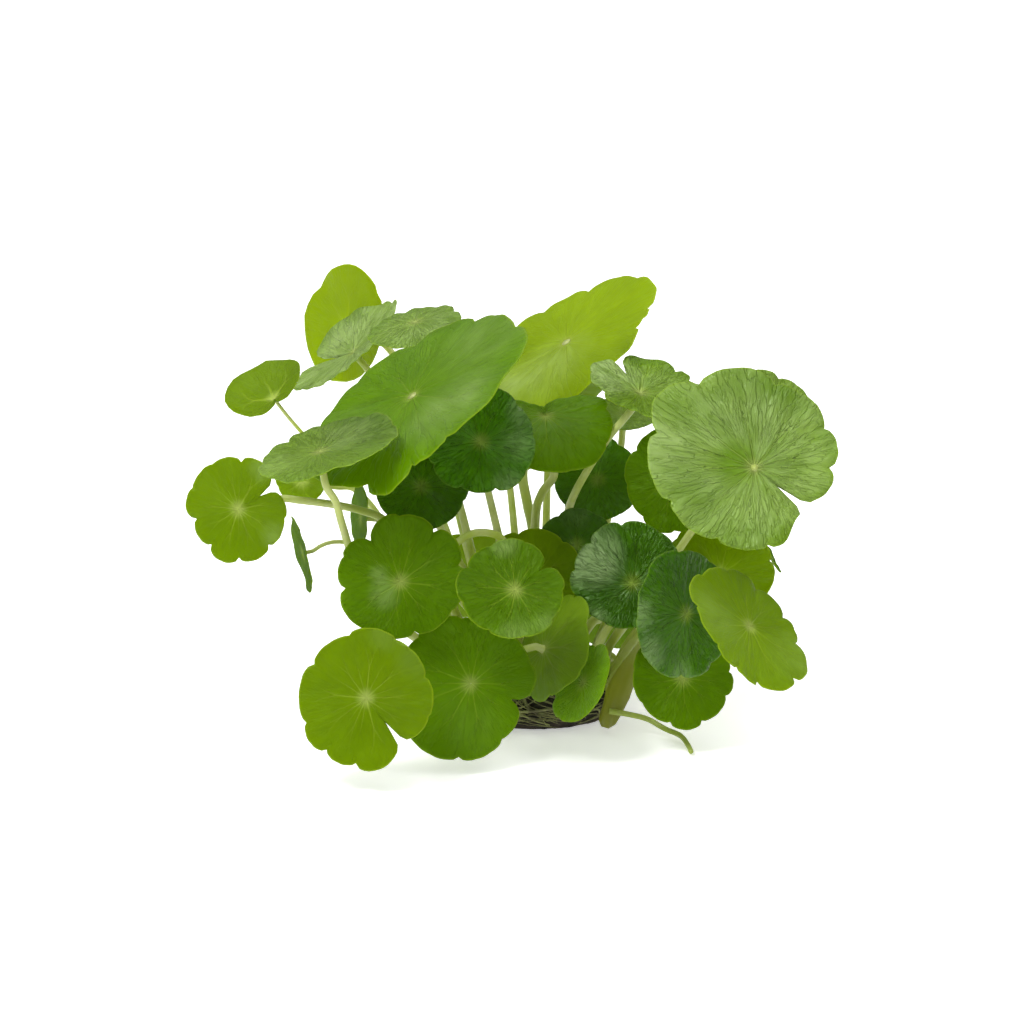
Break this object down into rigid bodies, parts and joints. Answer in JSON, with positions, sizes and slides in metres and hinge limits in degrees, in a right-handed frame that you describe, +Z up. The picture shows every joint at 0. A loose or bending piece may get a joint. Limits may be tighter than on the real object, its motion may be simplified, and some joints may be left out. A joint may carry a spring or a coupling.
{
  "type": "whorled pennywort",
  "caption": "Clump of round, shallowly lobed leaves, each held at its middle on a thin stalk, growing from a low plug of roots with a runner along the ground.",
  "frame": {"origin": "middle of the flat base of the root plug, at the surface that the plant stands on", "axes": "+Z up, +X to the plant's right seen from its front, which faces -Y"},
  "size_m": [0.1394, 0.1371, 0.0942],
  "materials": {
    "leaf": "satin",
    "stem": "satin",
    "plug": "matte"
  },
  "bodies": {
    "root": {"leaf_back": "leaf", "leaf_back_right": "leaf", "leaf_behind_front": "leaf", "leaf_behind_right": "leaf", "leaf_big_left": "leaf", "leaf_big_right": "leaf", "leaf_dark_left": "leaf", "leaf_dark_middle": "leaf", "leaf_dark_right": "leaf", "leaf_edge_on_left": "leaf", "leaf_edge_on_right": "leaf", "leaf_far_back_right": "leaf", "leaf_far_left": "leaf", "leaf_front_centre": "leaf", "leaf_front_left": "leaf", "leaf_front_low": "leaf", "leaf_front_low_left": "leaf", "leaf_front_right": "leaf", "leaf_funnel": "leaf", "leaf_glossy_middle": "leaf", "leaf_inner_left": "leaf", "leaf_inner_right": "leaf", "leaf_low_back": "leaf", "leaf_low_back_left": "leaf", "leaf_low_back_right": "leaf", "leaf_low_right": "leaf", "leaf_mid_left": "leaf", "leaf_middle": "leaf", "leaf_pale_back": "leaf", "leaf_sheen_right": "leaf", "leaf_small_front": "leaf", "leaf_small_left": "leaf", "leaf_small_top": "leaf", "leaf_top_back_left": "leaf", "leaf_top_left": "leaf", "leaf_top_right": "leaf", "leaf_under_right": "leaf", "leaf_underside": "leaf", "leaf_upper_back": "leaf", "leaf_upper_left": "leaf", "root_plug": "plug", "runner": "stem", "stems_back": "stem", "stems_back_left": "stem", "stems_back_right": "stem", "stems_front": "stem", "stems_front_left": "stem", "stems_front_right": "stem", "stems_left": "stem", "stems_middle": "stem", "stems_middle_front": "stem", "stems_middle_left": "stem", "stems_middle_right": "stem", "stems_right": "stem"}
  },
  "joints": []
}
